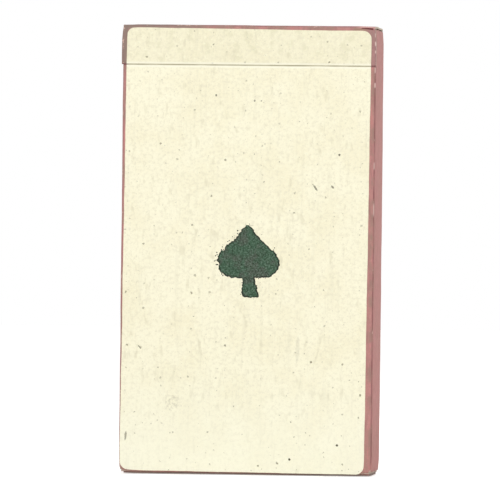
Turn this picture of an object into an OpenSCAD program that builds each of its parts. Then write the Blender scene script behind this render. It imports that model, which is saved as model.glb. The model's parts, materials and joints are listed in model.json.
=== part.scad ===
// Tarot deck in its hinge-lid card carton, standing upright.
// Millimetres. X runs right, Y runs from the labelled face to the back, Z runs up.
// The origin is under the middle of the carton, on the surface that it stands on.

/* [Cards] */
// Width of a card
card_w = 62; // [55:0.5:75]
// Height of a card
card_h = 112; // [90:0.5:130]
// Thickness of a card
card_t = 0.3; // [0.25:0.01:0.4]
// Corner radius of a card
card_r = 3.5; // [2:0.25:6]
// Air between neighbouring cards
card_air = 0.03; // [0.02:0.01:0.06]
// Number cards in each suit
pip_count = 10; // [8:1:12]
// Court cards in each suit
court_count = 4; // [3:1:5]
// Trump cards, without the fool
trump_count = 21; // [16:1:26]

/* [Room inside] */
// Room at each side of the cards
side_clear = 1.125; // [0.8:0.025:2.5]
// Room between the labelled panel and the first card
front_clear = 0.3; // [0.2:0.05:0.8]
// Room between the last card and the tuck flap
tuck_clear = 1.3; // [1.2:0.05:3]
// Slide gap between the tuck flap and the back panel
tuck_gap = 0.3; // [0.25:0.05:0.8]
// Headroom between the cards and the dust flaps
headroom = 1.55; // [1.4:0.05:3]
// Gap between the dust flaps and the lid
lid_gap = 0.35; // [0.2:0.05:0.8]
// Gap under the cards, to the bottom flaps
seat_gap = 0.05; // [0.03:0.01:0.2]

/* [Board] */
// Thickness of the carton board
board_t = 0.45; // [0.35:0.05:0.6]
// Inside radius of a folded edge
fold_in_r = 0.15; // [0.1:0.05:0.4]
// Gap along cut edges that lie beside another panel
cut_gap = 0.2; // [0.1:0.05:0.4]
// Width of the glue flap
glue_w = 14; // [8:0.5:18]
// Slope cut at the ends of the glue flap, from square
glue_slope = 25; // [10:1:45]
// Reach of the bottom dust flaps
bottom_dust_reach = 17; // [8:0.5:24]
// Slope cut at the sides of the bottom dust flaps
bottom_dust_slope = 12; // [4:1:20]

/* [Lid] */
// Drop of the hinge crease below the top of the lid
crease_drop = 10.35; // [8:0.05:16]
// Width of the pressed groove at the crease
crease_w = 0.34; // [0.2:0.02:0.5]
// Gap between the two edges that meet in the crease
crease_gap = 0.02; // [0.01:0.01:0.05]
// How far the lid stays inside the carton's width at each side
lid_inset = 0.05; // [0:0.05:0.6]
// Reach of the tuck flap below the lid
tuck_reach = 11; // [9:0.25:14]
// How far the tuck flap stays inside the carton's width at each side
tuck_inset = 2.5; // [1.5:0.25:6]
// Corner radius of the tuck flap
tuck_r = 6; // [2:0.5:8]
// Reach of the top dust flaps
dust_reach = 15; // [8:0.5:15]
// Root of the top dust flaps that stays uncut
dust_root = 2.5; // [1.5:0.25:4]
// Slope cut at the crease side of the top dust flaps
dust_front_slope = 38; // [36:1:45]
// Slope cut at the tuck side of the top dust flaps
dust_back_slope = 12; // [8:1:20]
// Room between the tuck flap and the top dust flaps
dust_back_clear = 2.2; // [1.8:0.1:4]
// Gap at the mitred root of the top dust flaps
dust_hinge_gap = 0.05; // [0.03:0.01:0.15]
// Radius of the thumb notch in the back panel
notch_r = 9; // [6:0.5:10]

/* [Label] */
// Thickness of the label paper
label_t = 0.1; // [0.06:0.01:0.2]
// Bare board left at each long side of the label
label_side = 1.175; // [0.8:0.025:4]
// Bare board left above and below the label
label_end = 0.675; // [0.4:0.025:4]
// Corner radius of the label
label_r = 1.95; // [0.5:0.05:5]
// How far the label sits off the middle of the face
label_shift = -0.44; // [-0.8:0.02:0.8]
// How far the label was pasted out of square, in degrees
label_turn = -0.3; // [-0.6:0.05:0.6]

/* [Spade] */
// Width of the spade across its lobes
spade_w = 16.1; // [12:0.1:30]
// Radius of a lobe
lobe_r = 3.95; // [3:0.05:6]
// Rise of the edge between the lobes above their lowest points
lobe_rise = 0.15; // [0.05:0.05:0.5]
// Height of the point above the middle of the lobes
point_h = 9.4; // [7:0.1:20]
// Height of the stem under the lobes
stem_h = 5.2; // [3:0.1:10]
// Width of the stem where it leaves the lobes
neck_w = 2.5; // [1.5:0.1:4]
// Width of the stem at its foot
foot_w = 4.4; // [4.1:0.1:8]
// Thickness of the stencilled paint
paint_t = 0.04; // [0.02:0.01:0.08]
// Place of the lobes' middle to the right of the face's middle
spade_x = 0.4; // [-5:0.1:5]
// Place of the lobes' middle below the face's middle
spade_drop = 3.1; // [-10:0.1:10]

/* [Hidden] */
BOX_NODES = [
    "front_panel", "back_panel", "left_side_panel", "right_side_panel", "glue_flap",
    "bottom_outer_flap", "bottom_inner_flap", "bottom_dust_flap_left", "bottom_dust_flap_right",
    "front_label", "spade_print",
    "lid_hinge_strip", "lid_top_panel", "lid_label", "tuck_flap", "dust_flap_left", "dust_flap_right"
];
SUITS = ["spade", "heart", "diamond", "club"];
PIP_NODES = [for (suit = SUITS) str(suit, "_pips")];
COURT_NODES = [for (suit = SUITS) str(suit, "_courts")];

$fn = 48;
suit_count = pip_count + court_count;
card_count = len(SUITS) * suit_count + trump_count + 1;
card_pitch = card_t + card_air;
deck_d = card_count * card_pitch - card_air;

// Outside sizes of the carton, from the cards outwards
fold_r = fold_in_r + board_t;
box_w = card_w + 2 * side_clear + 3 * board_t;
box_d = deck_d + front_clear + tuck_clear + tuck_gap + 3 * board_t;
floor_z = 3 * board_t;
deck_z = floor_z + seat_gap;
side_top = deck_z + card_h + headroom + board_t;
box_h = side_top + lid_gap + board_t;
crease_z = box_h - crease_drop;
right_x = box_w / 2;
left_x = -right_x;
inner_left = left_x + board_t;

// The paint and the label stand proud of the front, and the whole depth is centred
proud = label_t + paint_t;
front_y = (proud - box_d) / 2;
back_y = front_y + box_d;
face_y = front_y - label_t;
inner_front = front_y + board_t;
inner_back = back_y - board_t;
first_card_y = inner_front + front_clear;
deck_x = board_t / 2;
tuck_back = inner_back - tuck_gap;
tuck_front = tuck_back - board_t;

// Centres of the folds
fold_left = left_x + fold_r;
fold_right = right_x - fold_r;
fold_front = front_y + fold_r;
fold_back = back_y - fold_r;
fold_glue = inner_left + fold_r;
lid_fold_z = box_h - fold_r;
tuck_fold_y = tuck_back - fold_r;
inner_fold_z = board_t + fold_r;
side_fold_z = 2 * board_t + fold_r;

board_colour = "#B8867F";
inside_colour = "#C9B9A6";
label_colour = "#F9F4D8";
paint_colour = "#4A5C50";
card_colour = "#F1E9D2";

// Half of a folded edge: an eighth of a ring, from an angle on
module half_fold(centre, from) {
    reach = 2 * fold_r;
    translate(centre)
        intersection() {
            difference() {
                circle(fold_r);
                circle(fold_in_r);
            }
            polygon([
                [0, 0],
                reach * [cos(from), sin(from)],
                reach * [cos(from + 45), sin(from + 45)]
            ]);
        }
}

// A rectangle between two corners
module between(low, high) {
    translate(low)
        square(high - low);
}

// Stands a plan drawing in X and Y up between two heights
module upright(low, high) {
    translate([0, 0, low])
        linear_extrude(high - low)
            children();
}

// Runs a drawing in Y and Z along X
module along_x(low, high) {
    translate([low, 0, 0])
        rotate([90, 0, 90])
            linear_extrude(high - low)
                children();
}

// Runs a drawing in X and Z along Y
module along_y(low, high) {
    translate([0, high, 0])
        rotate([90, 0, 0])
            linear_extrude(high - low)
                children();
}

// The wedge that the folding tool pressed into the face along the crease
module crease_groove() {
    side = crease_w / sqrt(2);
    translate([0, face_y, crease_z])
        rotate([45, 0, 0])
            cube([box_w + 2, side, side], center = true);
}

module front_panel() {
    color(board_colour)
        difference() {
            union() {
                upright(inner_fold_z, crease_z - crease_gap / 2) {
                    between([fold_left, front_y], [fold_right, inner_front]);
                    half_fold([fold_left, fold_front], 225);
                    half_fold([fold_right, fold_front], 270);
                }
                along_x(fold_left, fold_right)
                    half_fold([fold_front, inner_fold_z], 180);
            }
            crease_groove();
        }
}

module back_panel() {
    color(board_colour)
        difference() {
            union() {
                upright(fold_r, box_h) {
                    between([fold_glue, inner_back], [fold_right, back_y]);
                    half_fold([fold_right, fold_back], 45);
                    half_fold([fold_glue, fold_back], 90);
                }
                along_x(fold_glue, fold_right)
                    half_fold([fold_back, fold_r], 315);
            }
            translate([0, back_y + board_t, box_h])
                rotate([90, 0, 0])
                    cylinder(h = 3 * board_t, r = notch_r);
        }
}

// What the right side panel gives up: room behind the lid's strip, and the mitre for its dust flap
module side_cuts() {
    translate([0, front_y - board_t, crease_z - crease_gap / 2])
        cube([box_w, 2 * board_t + cut_gap, crease_drop]);
    along_y(front_y - board_t, back_y + board_t)
        polygon([
            [right_x, side_top],
            [right_x, side_top + board_t],
            [right_x - 2 * board_t, side_top + board_t],
            [right_x - 2 * board_t, side_top - 2 * board_t]
        ]);
}

module left_side_panel() {
    color(board_colour)
        difference() {
            union() {
                upright(side_fold_z, side_top) {
                    between([left_x, fold_front], [inner_left, back_y]);
                    half_fold([fold_left, fold_front], 180);
                }
                along_y(fold_front, back_y)
                    half_fold([fold_left, side_fold_z], 180);
            }
            mirror([1, 0, 0])
                side_cuts();
        }
}

module right_side_panel() {
    color(board_colour)
        difference() {
            union() {
                upright(side_fold_z, side_top) {
                    between([right_x - board_t, fold_front], [right_x, fold_back]);
                    half_fold([fold_right, fold_front], 315);
                    half_fold([fold_right, fold_back], 0);
                }
                along_y(fold_front, fold_back)
                    half_fold([fold_right, side_fold_z], 315);
            }
            side_cuts();
        }
}

// Folded off the back panel and pasted inside the left side panel
module glue_flap() {
    low = floor_z + fold_r;
    high = crease_z;
    fall = glue_w * tan(glue_slope);
    color(inside_colour) {
        along_x(inner_left, inner_left + board_t)
            polygon([
                [fold_back, low],
                [fold_back, high],
                [fold_back - glue_w, high - fall],
                [fold_back - glue_w, low + fall]
            ]);
        upright(low, high)
            half_fold([fold_glue, fold_back], 135);
    }
}

module bottom_outer_flap() {
    color(board_colour)
        along_x(fold_glue, fold_right) {
            between([front_y + cut_gap, 0], [fold_back, board_t]);
            half_fold([fold_back, fold_r], 270);
        }
}

module bottom_inner_flap() {
    color(board_colour)
        along_x(inner_left + cut_gap, fold_right) {
            between([fold_front, board_t], [inner_back - cut_gap, 2 * board_t]);
            half_fold([fold_front, inner_fold_z], 225);
        }
}

// A bottom dust flap on the right: folded off the side panel, with sloping sides
module bottom_dust_flap() {
    low = inner_front + cut_gap;
    high = inner_back - cut_gap;
    fall = bottom_dust_reach * tan(bottom_dust_slope);
    color(board_colour) {
        upright(2 * board_t, floor_z)
            polygon([
                [fold_right, low],
                [fold_right, high],
                [fold_right - bottom_dust_reach, high - fall],
                [fold_right - bottom_dust_reach, low + fall]
            ]);
        along_y(low, high)
            half_fold([fold_right, side_fold_z], 270);
    }
}

module bottom_dust_flap_right() {
    bottom_dust_flap();
}

module bottom_dust_flap_left() {
    mirror([1, 0, 0])
        bottom_dust_flap();
}

// The whole label before the crease divides it, in X and Z about the face's middle
module label_outline() {
    w = box_w - 2 * label_side;
    h = box_h - 2 * label_end;
    rotate(label_turn) {
        square([w - 2 * label_r, h], center = true);
        square([w, h - 2 * label_r], center = true);
        for (x = [-1, 1], z = [-1, 1])
            translate([x * (w / 2 - label_r), z * (h / 2 - label_r)])
                circle(label_r);
    }
}

module label_between(low, high) {
    color(label_colour)
        difference() {
            along_y(face_y, front_y)
                intersection() {
                    translate([label_shift, box_h / 2])
                        label_outline();
                    between([left_x, low], [right_x, high]);
                }
            crease_groove();
        }
}

module front_label() {
    label_between(0, crease_z - crease_gap / 2);
}

module lid_label() {
    label_between(crease_z + crease_gap / 2, box_h);
}

// The spade about the middle of its lobes: sides from the point that run just inside the lobes' tangents, and a
// stem with hollow flanks
module spade_outline() {
    lobe_x = spade_w / 2 - lobe_r;
    reach = norm([lobe_x, point_h]);
    touch = atan2(point_h, -lobe_x) - acos(lobe_r / reach);
    shoulder = [lobe_x, 0] + 0.95 * lobe_r * [cos(touch), sin(touch)];
    base = lobe_rise - lobe_r;
    flare = (foot_w - neck_w) / 2;
    flank_r = (stem_h * stem_h + flare * flare) / (2 * flare);
    for (side = [-1, 1])
        translate([side * lobe_x, 0])
            circle(lobe_r);
    polygon([
        [0, point_h],
        [-shoulder[0], shoulder[1]],
        [-lobe_x, 0],
        [-lobe_x, base],
        [lobe_x, base],
        [lobe_x, 0],
        shoulder
    ]);
    difference() {
        between([-foot_w / 2, -lobe_r - stem_h], [foot_w / 2, 0]);
        for (side = [-1, 1])
            translate([side * (neck_w / 2 + flank_r), -lobe_r])
                circle(flank_r, $fn = 180);
    }
}

module spade_print() {
    color(paint_colour)
        translate([spade_x, 0, box_h / 2 - spade_drop])
            along_y(face_y - paint_t, face_y)
                spade_outline();
}

module lid_hinge_strip() {
    color(board_colour)
        difference() {
            along_x(left_x + lid_inset, right_x - lid_inset) {
                between([front_y, crease_z + crease_gap / 2], [inner_front, lid_fold_z]);
                half_fold([fold_front, lid_fold_z], 135);
            }
            crease_groove();
        }
}

module lid_top_panel() {
    color(board_colour) {
        along_x(left_x + lid_inset, right_x - lid_inset) {
            between([fold_front, box_h - board_t], [tuck_fold_y, box_h]);
            half_fold([fold_front, lid_fold_z], 90);
        }
        along_x(left_x + tuck_inset, right_x - tuck_inset) {
            between([tuck_fold_y - board_t, box_h - board_t], [tuck_fold_y, box_h]);
            half_fold([tuck_fold_y, lid_fold_z], 45);
        }
    }
}

// Folded down off the lid, inside the back panel, with round lower corners
module tuck_flap() {
    w = box_w - 2 * tuck_inset;
    low = box_h - tuck_reach;
    color(board_colour) {
        along_y(tuck_front, tuck_back)
            intersection() {
                between([-w / 2, low], [w / 2, lid_fold_z]);
                union() {
                    between([-w / 2, low + tuck_r], [w / 2, box_h]);
                    between([tuck_r - w / 2, low], [w / 2 - tuck_r, box_h]);
                    for (side = [-1, 1])
                        translate([side * (w / 2 - tuck_r), low + tuck_r])
                            circle(tuck_r);
                }
            }
        along_x(-w / 2, w / 2)
            half_fold([tuck_fold_y, lid_fold_z], 0);
    }
}

// A top dust flap on the right, mitred at its root and cut clear of the swinging lid and tuck flap
module dust_flap() {
    root = right_x - dust_hinge_gap;
    tip = right_x - dust_reach;
    shoulder = right_x - dust_root;
    low = inner_front + cut_gap;
    high = tuck_front - dust_back_clear;
    front_fall = (dust_reach - dust_root) * tan(dust_front_slope);
    back_fall = dust_reach * tan(dust_back_slope);
    color(board_colour)
        intersection() {
            along_y(low, high)
                polygon([
                    [root, side_top],
                    [root - board_t, side_top - board_t],
                    [tip, side_top - board_t],
                    [tip, side_top]
                ]);
            upright(side_top - 2 * board_t, side_top + board_t)
                polygon([
                    [right_x, low],
                    [right_x, high],
                    [tip, high - back_fall],
                    [tip, low + front_fall],
                    [shoulder, low]
                ]);
        }
}

module dust_flap_right() {
    dust_flap();
}

module dust_flap_left() {
    mirror([1, 0, 0])
        dust_flap();
}

module card_outline() {
    square([card_w - 2 * card_r, card_h], center = true);
    square([card_w, card_h - 2 * card_r], center = true);
    for (x = [-1, 1], z = [-1, 1])
        translate([x * (card_w / 2 - card_r), z * (card_h / 2 - card_r)])
            circle(card_r);
}

// Cards standing one behind another, counted from the labelled face
module cards(first, count) {
    color(card_colour)
        for (i = [first : first + count - 1])
            translate([deck_x, first_card_y + i * card_pitch, deck_z + card_h / 2])
                rotate([90, 0, 0])
                    translate([0, 0, -card_t])
                        linear_extrude(card_t)
                            card_outline();
}

module suit_pips(suit) {
    cards(suit * suit_count, pip_count);
}

module suit_courts(suit) {
    cards(suit * suit_count + pip_count, court_count);
}

module trumps() {
    cards(len(SUITS) * suit_count, trump_count);
}

module fool() {
    cards(card_count - 1, 1);
}

front_panel();
back_panel();
left_side_panel();
right_side_panel();
glue_flap();
bottom_outer_flap();
bottom_inner_flap();
bottom_dust_flap_left();
bottom_dust_flap_right();
front_label();
spade_print();
lid_hinge_strip();
lid_top_panel();
lid_label();
tuck_flap();
dust_flap_left();
dust_flap_right();
for (suit = [0 : len(SUITS) - 1]) {
    suit_pips(suit);
    suit_courts(suit);
}
trumps();
fool();
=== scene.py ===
"""A worn carton of tarot cards.

Folded mauve board, a pasted cream label with a stencilled spade, and the deck inside.
"""

import json
import math
import random

import bmesh
import bpy
from mathutils import Matrix, Vector, noise
from mathutils.kdtree import KDTree

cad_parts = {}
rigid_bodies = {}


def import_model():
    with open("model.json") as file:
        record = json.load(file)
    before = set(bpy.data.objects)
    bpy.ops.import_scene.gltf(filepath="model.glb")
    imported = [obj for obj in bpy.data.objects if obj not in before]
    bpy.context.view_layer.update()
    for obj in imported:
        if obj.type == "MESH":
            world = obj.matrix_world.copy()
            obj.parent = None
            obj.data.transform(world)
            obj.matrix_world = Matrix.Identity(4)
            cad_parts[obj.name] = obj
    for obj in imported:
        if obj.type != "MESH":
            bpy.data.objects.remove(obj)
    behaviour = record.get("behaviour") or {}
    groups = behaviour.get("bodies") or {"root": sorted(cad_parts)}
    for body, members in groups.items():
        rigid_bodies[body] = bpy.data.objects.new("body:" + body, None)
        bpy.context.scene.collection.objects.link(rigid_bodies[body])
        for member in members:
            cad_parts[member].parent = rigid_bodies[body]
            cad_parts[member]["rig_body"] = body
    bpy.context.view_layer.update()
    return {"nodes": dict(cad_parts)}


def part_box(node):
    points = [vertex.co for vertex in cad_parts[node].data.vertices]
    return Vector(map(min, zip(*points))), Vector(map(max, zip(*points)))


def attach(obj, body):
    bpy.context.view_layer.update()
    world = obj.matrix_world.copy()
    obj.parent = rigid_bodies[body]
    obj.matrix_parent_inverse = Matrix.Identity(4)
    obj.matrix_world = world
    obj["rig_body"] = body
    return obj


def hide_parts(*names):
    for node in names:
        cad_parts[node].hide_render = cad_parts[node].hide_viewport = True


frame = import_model()

bl_info = {
    "name": "Tarot deck carton",
    "version": (1, 0, 0),
    "blender": (4, 5, 0),
    "location": "3D View > Sidebar > Tarot deck",
    "description": "Dresses a packed tarot deck in board, label paper, stencil paint and printed cards",
    "category": "Object",
}

MM = 0.001
X, Y, Z = 0, 1, 2
ACROSS, DEEP, UP = (1, 0, 0), (0, 1, 0), (0, 0, 1)
EIGHTH = math.radians(45)
SMOOTH_ANGLE = math.radians(35)

# Points closer than SAME are at one place. A cut goes through a point that is closer than CUT_REACH.
SAME = 1e-6
CUT_REACH = 1e-7

# Outer planes of the carton, and the label's face
BOX = {name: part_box(name) for name in frame["nodes"]}
LEFT = BOX["left_side_panel"][0].x
RIGHT = BOX["right_side_panel"][1].x
FRONT = BOX["front_panel"][0].y
BACK = BOX["back_panel"][1].y
FACE = BOX["front_label"][0].y
TOP = BOX["lid_top_panel"][1].z
SIDE_TOP = BOX["dust_flap_left"][1].z
MIDDLE = Vector(((LEFT + RIGHT) / 2, (FRONT + BACK) / 2, TOP / 2))
HALF = Vector(((RIGHT - LEFT) / 2, (BACK - FRONT) / 2, TOP / 2))

# Thickness of the board and outer radius of its folds. The front panel ends half way round its fold.
BOARD = SIDE_TOP - BOX["dust_flap_left"][0].z
FOLD = (BOX["front_panel"][0].x - LEFT) / (1 - math.cos(EIGHTH))

# Where the flat parts of the panels end
CREASE_LOW = BOX["front_panel"][1].z
CREASE_HIGH = BOX["lid_hinge_strip"][0].z
CREASE = (CREASE_LOW + CREASE_HIGH) / 2
FOLD_LEFT = LEFT + FOLD
FOLD_RIGHT = RIGHT - FOLD
FOLD_FRONT = FRONT + FOLD
FOLD_BACK = BACK - FOLD
FOLD_GLUE = LEFT + BOARD + FOLD
FRONT_FOOT = BOARD + FOLD
SIDE_FOOT = 2 * BOARD + FOLD
LID_EDGE = TOP - FOLD
TUCK_BACK = BOX["tuck_flap"][1].y
TUCK_EDGE = TUCK_BACK - FOLD

# Noise vectors start from the clock unless they are seeded.
WEAR_SEED = 3
SPATTER_SEED = 7
CARD_SEED = 21
noise.seed_set(WEAR_SEED)


def linear(code):
    """A colour written as six hex digits, in the linear numbers that the shaders take."""
    parts = [int(code[i:i + 2], 16) / 255 for i in (0, 2, 4)]
    return tuple(p / 12.92 if p <= 0.04045 else ((p + 0.055) / 1.055) ** 2.4 for p in parts)


def length(name, description, default):
    """A length that a user may change, in metres."""
    return bpy.props.FloatProperty(
        name=name, description=description, default=default, unit="LENGTH", precision=5, step=0.001
    )


def angle(name, description, degrees):
    """An angle that a user may change, given in degrees."""
    return bpy.props.FloatProperty(
        name=name, description=description, default=math.radians(degrees), subtype="ANGLE"
    )


def strength(name, description, default):
    """A strength of light that a user may change."""
    return bpy.props.FloatProperty(name=name, description=description, default=default, min=0)


def colour(name, description, code):
    """A colour that a user may change."""
    return bpy.props.FloatVectorProperty(
        name=name, description=description, default=linear(code), subtype="COLOR", size=3, min=0, max=1
    )


class CartonSettings(bpy.types.PropertyGroup):
    """Shape and finish of the folded board"""

    swell: length("Swell", "How far the panels stand out in their middle", 0.00022)
    crush: length("Crushed corners", "How far the corners are knocked in", 0.00035)
    wander: length("Wander", "How far the board strays from flat", 0.00007)
    groove: length("Crease depth", "How deep the lid's crease is pressed", 0.00012)
    flare: length("Flare", "How far the lid's left edge stands out from the folds under it", 0.0004)
    notch: length("Thumb notch", "Radius of the notch in the back panel", 0.009)
    tuck_corner: length("Tuck corner", "Radius of the tuck flap's corners", 0.006)
    lip: length("Lip", "How far the outer bottom flap's lip is set back", 0.0006)
    outside: colour("Outside", "Mauve paper on the outside of the board", "BD8582")
    faded: colour("Faded", "Greyer patches of the mauve paper", "AC8379")
    dirt: colour("Dirt", "Handling dirt along the folds", "967F73")
    torn: colour("Torn", "Paper that is rubbed thin at the folds", "E3BBB1")
    inside: colour("Inside", "Bare board inside and at cut edges", "D6CABA")


class LabelSettings(bpy.types.PropertyGroup):
    """Size and finish of the pasted label"""

    width: length("Width", "Width of the whole label", 0.0634)
    height: length("Height", "Height of the whole label", 0.1146)
    corner: length("Corner", "Radius of the label's corners", 0.00195)
    tight: length("Tight corner", "Radius of the upper left corner", 0.0015)
    stray: length("Stray", "How far the cut edge strays", 0.00007)
    shift: length("Shift", "How far the label sits to the right of the face's middle", -0.0005)
    drop: length("Drop", "How far the label sits under the face's middle", 0.0002)
    turn: angle("Turn", "How far the label is pasted out of square", 0.4)
    paper: colour("Paper", "Cream paper below the crease", "FEFAE0")
    aged: colour("Aged", "Paper that has yellowed in patches", "F8F2D4")
    # The Handled colour is painted shade, which evenly darkens the paper above the crease.
    handled: colour("Handled", "Paper above the crease, greyer from handling", "F2ECCE")
    mark: colour("Marks", "Scratches and spots of dirt on the paper", "47432D")
    speck: colour("Specks", "Specks and fly marks in the paper", "6E6645")
    # The crease line's colour is dirt and painted shade in the crease.
    line: colour("Crease line", "Dirt in the crease", "B9B296")


class SpadeSettings(bpy.types.PropertyGroup):
    """Shape and finish of the stencilled spade"""

    lobe: length("Lobe", "Radius of a lobe", 0.00405)
    neck: length("Neck", "Width of the stem where it leaves the lobes", 0.0033)
    foot: length("Foot", "Width of the stem at its foot", 0.0043)
    stem: length("Stem", "Height of the stem under the lobes", 0.00505)
    lean: length("Lean", "How far the foot stands to the right of the lobes", 0.00042)
    blunt: length("Blunt tip", "How far the paint bled to the left of the tip", 0.001)
    bulge: length("Bulge", "How far the left side curves out under the tip", 0.00018)
    dent: length("Dent", "How far the right side curves in under the tip", 0.0006)
    rough: length("Rough edge", "How far the stencilled edge strays", 0.00034)
    rim: length("Rim", "Width of the thicker paint at the edge", 0.00042)
    flecks: bpy.props.IntProperty(name="Flecks", description="Spatters beside the edge", default=34, min=0)
    green: colour("Green", "Paint", "47634F")
    grey: colour("Grey", "Duller paint", "565C53")
    black: colour("Black", "Thick paint at the edge", "1B2019")


class CardSettings(bpy.types.PropertyGroup):
    """Shape and print of the cards"""

    corner: length("Corner", "Radius of a card's corners", 0.0035)
    stray: length("Stray", "How far a card strays from the pack", 0.00022)
    stock: colour("Stock", "Face of the card", "F4EEDD")
    edge: colour("Edge", "Cut edge of the card", "E2D8C0")
    black: colour("Black ink", "Spades and clubs", "2B2D2B")
    red: colour("Red ink", "Hearts and diamonds", "A93A33")
    back: colour("Back ink", "Lattice on the backs", "7F4A4E")


class StageSettings(bpy.types.PropertyGroup):
    """Floor, light and camera"""

    floor: colour("Floor", "Pale floor", "F4F2EE")
    sky: strength("Sky", "Strength of the even light", 0.57)
    lamp: strength("Lamps", "Strength of the lamps", 0.8)
    lens: bpy.props.FloatProperty(
        name="Lens", description="Focal length in millimetres", default=600, subtype="DISTANCE_CAMERA"
    )
    frame_width: length("Frame width", "Width that the picture takes in at the label", 0.12925)
    azimuth: angle("Azimuth", "How far the camera stands to the right", 4.8)
    roll: angle("Roll", "How far the camera leans to the left", 0.65)
    aside: length("Aside", "How far the camera aims to the right of the face's middle", 0.0007)


# Shader sums


def math_node(operation):
    """An operator of Shade, which adds a Math node."""
    return lambda self, *values: self.math(operation, *values)


class Shade:
    """A socket of a material's node tree. A sum written with it adds the nodes that work it out."""

    __add__ = __radd__ = math_node("ADD")
    __sub__ = math_node("SUBTRACT")
    __mul__ = __rmul__ = math_node("MULTIPLY")
    __truediv__ = math_node("DIVIDE")
    __abs__ = math_node("ABSOLUTE")
    __gt__ = math_node("GREATER_THAN")
    __lt__ = math_node("LESS_THAN")
    __or__ = math_node("MAXIMUM")
    __and__ = math_node("MINIMUM")

    def __init__(self, tree, socket=None):
        self.tree = tree
        self.socket = socket

    def node(self, kind, settings=None, sockets=None, output=0):
        """Adds a node: first its settings, then the values or links of its sockets."""
        made = self.tree.nodes.new(kind)
        for name, value in (settings or {}).items():
            setattr(made, name, value)
        for key, value in (sockets or {}).items():
            if isinstance(value, Shade):
                self.tree.links.new(value.socket, made.inputs[key])
            elif made.inputs[key].type == "RGBA":
                made.inputs[key].default_value = (*value, 1)
            else:
                made.inputs[key].default_value = value
        return Shade(self.tree, made.outputs[output] if made.outputs else None)

    def math(self, operation, *values):
        """A Math node with this socket as its first value."""
        return self.node("ShaderNodeMath", {"operation": operation}, dict(enumerate((self, *values))))

    def __rsub__(self, other):
        return self * -1 + other

    def rise(self, low, high):
        """0 below low and 1 above high, with a smooth step between. It falls where low is the higher."""
        return self.node(
            "ShaderNodeMapRange", {"interpolation_type": "SMOOTHSTEP"},
            {"Value": self, "From Min": low, "From Max": high},
        )

    def mix(self, under, over):
        """One colour over another, with this socket as the cover."""
        return self.node("ShaderNodeMix", {"data_type": "RGBA"}, {0: self, 6: under, 7: over}, 2)

    def noise(self, scale, detail=2, rough=0.5):
        """Cloudy noise over this vector, as many to the metre as scale says."""
        sockets = {"Vector": self, "Scale": scale, "Detail": detail, "Roughness": rough}
        return self.node("ShaderNodeTexNoise", {}, sockets)

    def stretch(self, x, y, z):
        """This vector, scaled along each axis."""
        return self.node("ShaderNodeMapping", {}, {"Vector": self, "Scale": (x, y, z)})

    def split(self):
        """The three parts of this vector."""
        made = self.node("ShaderNodeSeparateXYZ", {}, {0: self}).socket.node
        return [Shade(self.tree, part) for part in made.outputs]

    def disc(self, other, middle, reach):
        """Cover of a soft round spot on the plane of this socket and another."""
        across = self - middle[0]
        up = other - middle[1]
        away = across * across + up * up
        return away.rise(reach * reach, reach * reach * 0.2)

    def stroke(self, other, middle, reach, wide, slant):
        """Cover of a short mark on the plane of this socket and another, leaning over by an angle."""
        across = self - middle[0]
        up = other - middle[1]
        along = (across * math.sin(slant) + up * math.cos(slant)) / reach
        aside = (across * math.cos(slant) - up * math.sin(slant)) / wide
        return (along * along + aside * aside).rise(1.4, 0.5)


def layered(base, layers):
    """A colour with others laid over it in turn. Each layer's name labels its node."""
    for name, (cover, tint) in layers.items():
        base = cover.mix(base, linear(tint) if isinstance(tint, str) else tint)
        base.socket.node.label = name
    return base


def finish(name, recipe, *values, depth, specular=0.3):
    """A finish by name, made when it is first asked for.

    The recipe works out colour, roughness and relief from the piece's own coordinates. Depth is how far
    the relief goes up and down, in metres.
    """
    material = bpy.data.materials.get(name)
    if material:
        return material
    material = bpy.data.materials.new(name)
    material.use_nodes = True
    tree = material.node_tree
    shader = tree.nodes["Principled BSDF"]
    place = Shade(tree).node("ShaderNodeTexCoord", output=3)
    base, roughness, height = recipe(place, *values)
    bump = place.node("ShaderNodeBump", {}, {"Strength": 1.0, "Distance": depth, "Height": height})
    for key, given in (("Base Color", base), ("Roughness", roughness), ("Normal", bump)):
        tree.links.new(given.socket, shader.inputs[key])
    shader.inputs["Specular IOR Level"].default_value = specular
    return material


# Finishes of the board


OUTER_RELIEF = 0.06 * MM
INNER_RELIEF = 0.05 * MM

# Height, reach and cover of each place where the right front fold is rubbed through
FOLD_RUBS = (
    (0.1139, 0.0007, 0.6), (0.1116, 0.0008, 1.0), (0.1095, 0.0005, 0.7), (0.1049, 0.0010, 0.6),
    (0.1010, 0.0008, 0.8), (0.0801, 0.0012, 0.5), (0.0688, 0.0022, 0.55), (0.0011, 0.0006, 0.8),
)

# The paper has split in a short arc by the lid's upper right corner, and it is rubbed round about.
SPLIT_START = RIGHT - 4.2 * MM
SPLIT_LENGTH = 3.4 * MM
SPLIT_HEIGHT = TOP - 0.52 * MM
SPLIT_DROP = 0.22 * MM
SPLIT_WIDEN = 0.16 * MM
STAIN = (RIGHT - 4.0 * MM, TOP - 0.8 * MM)


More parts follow.
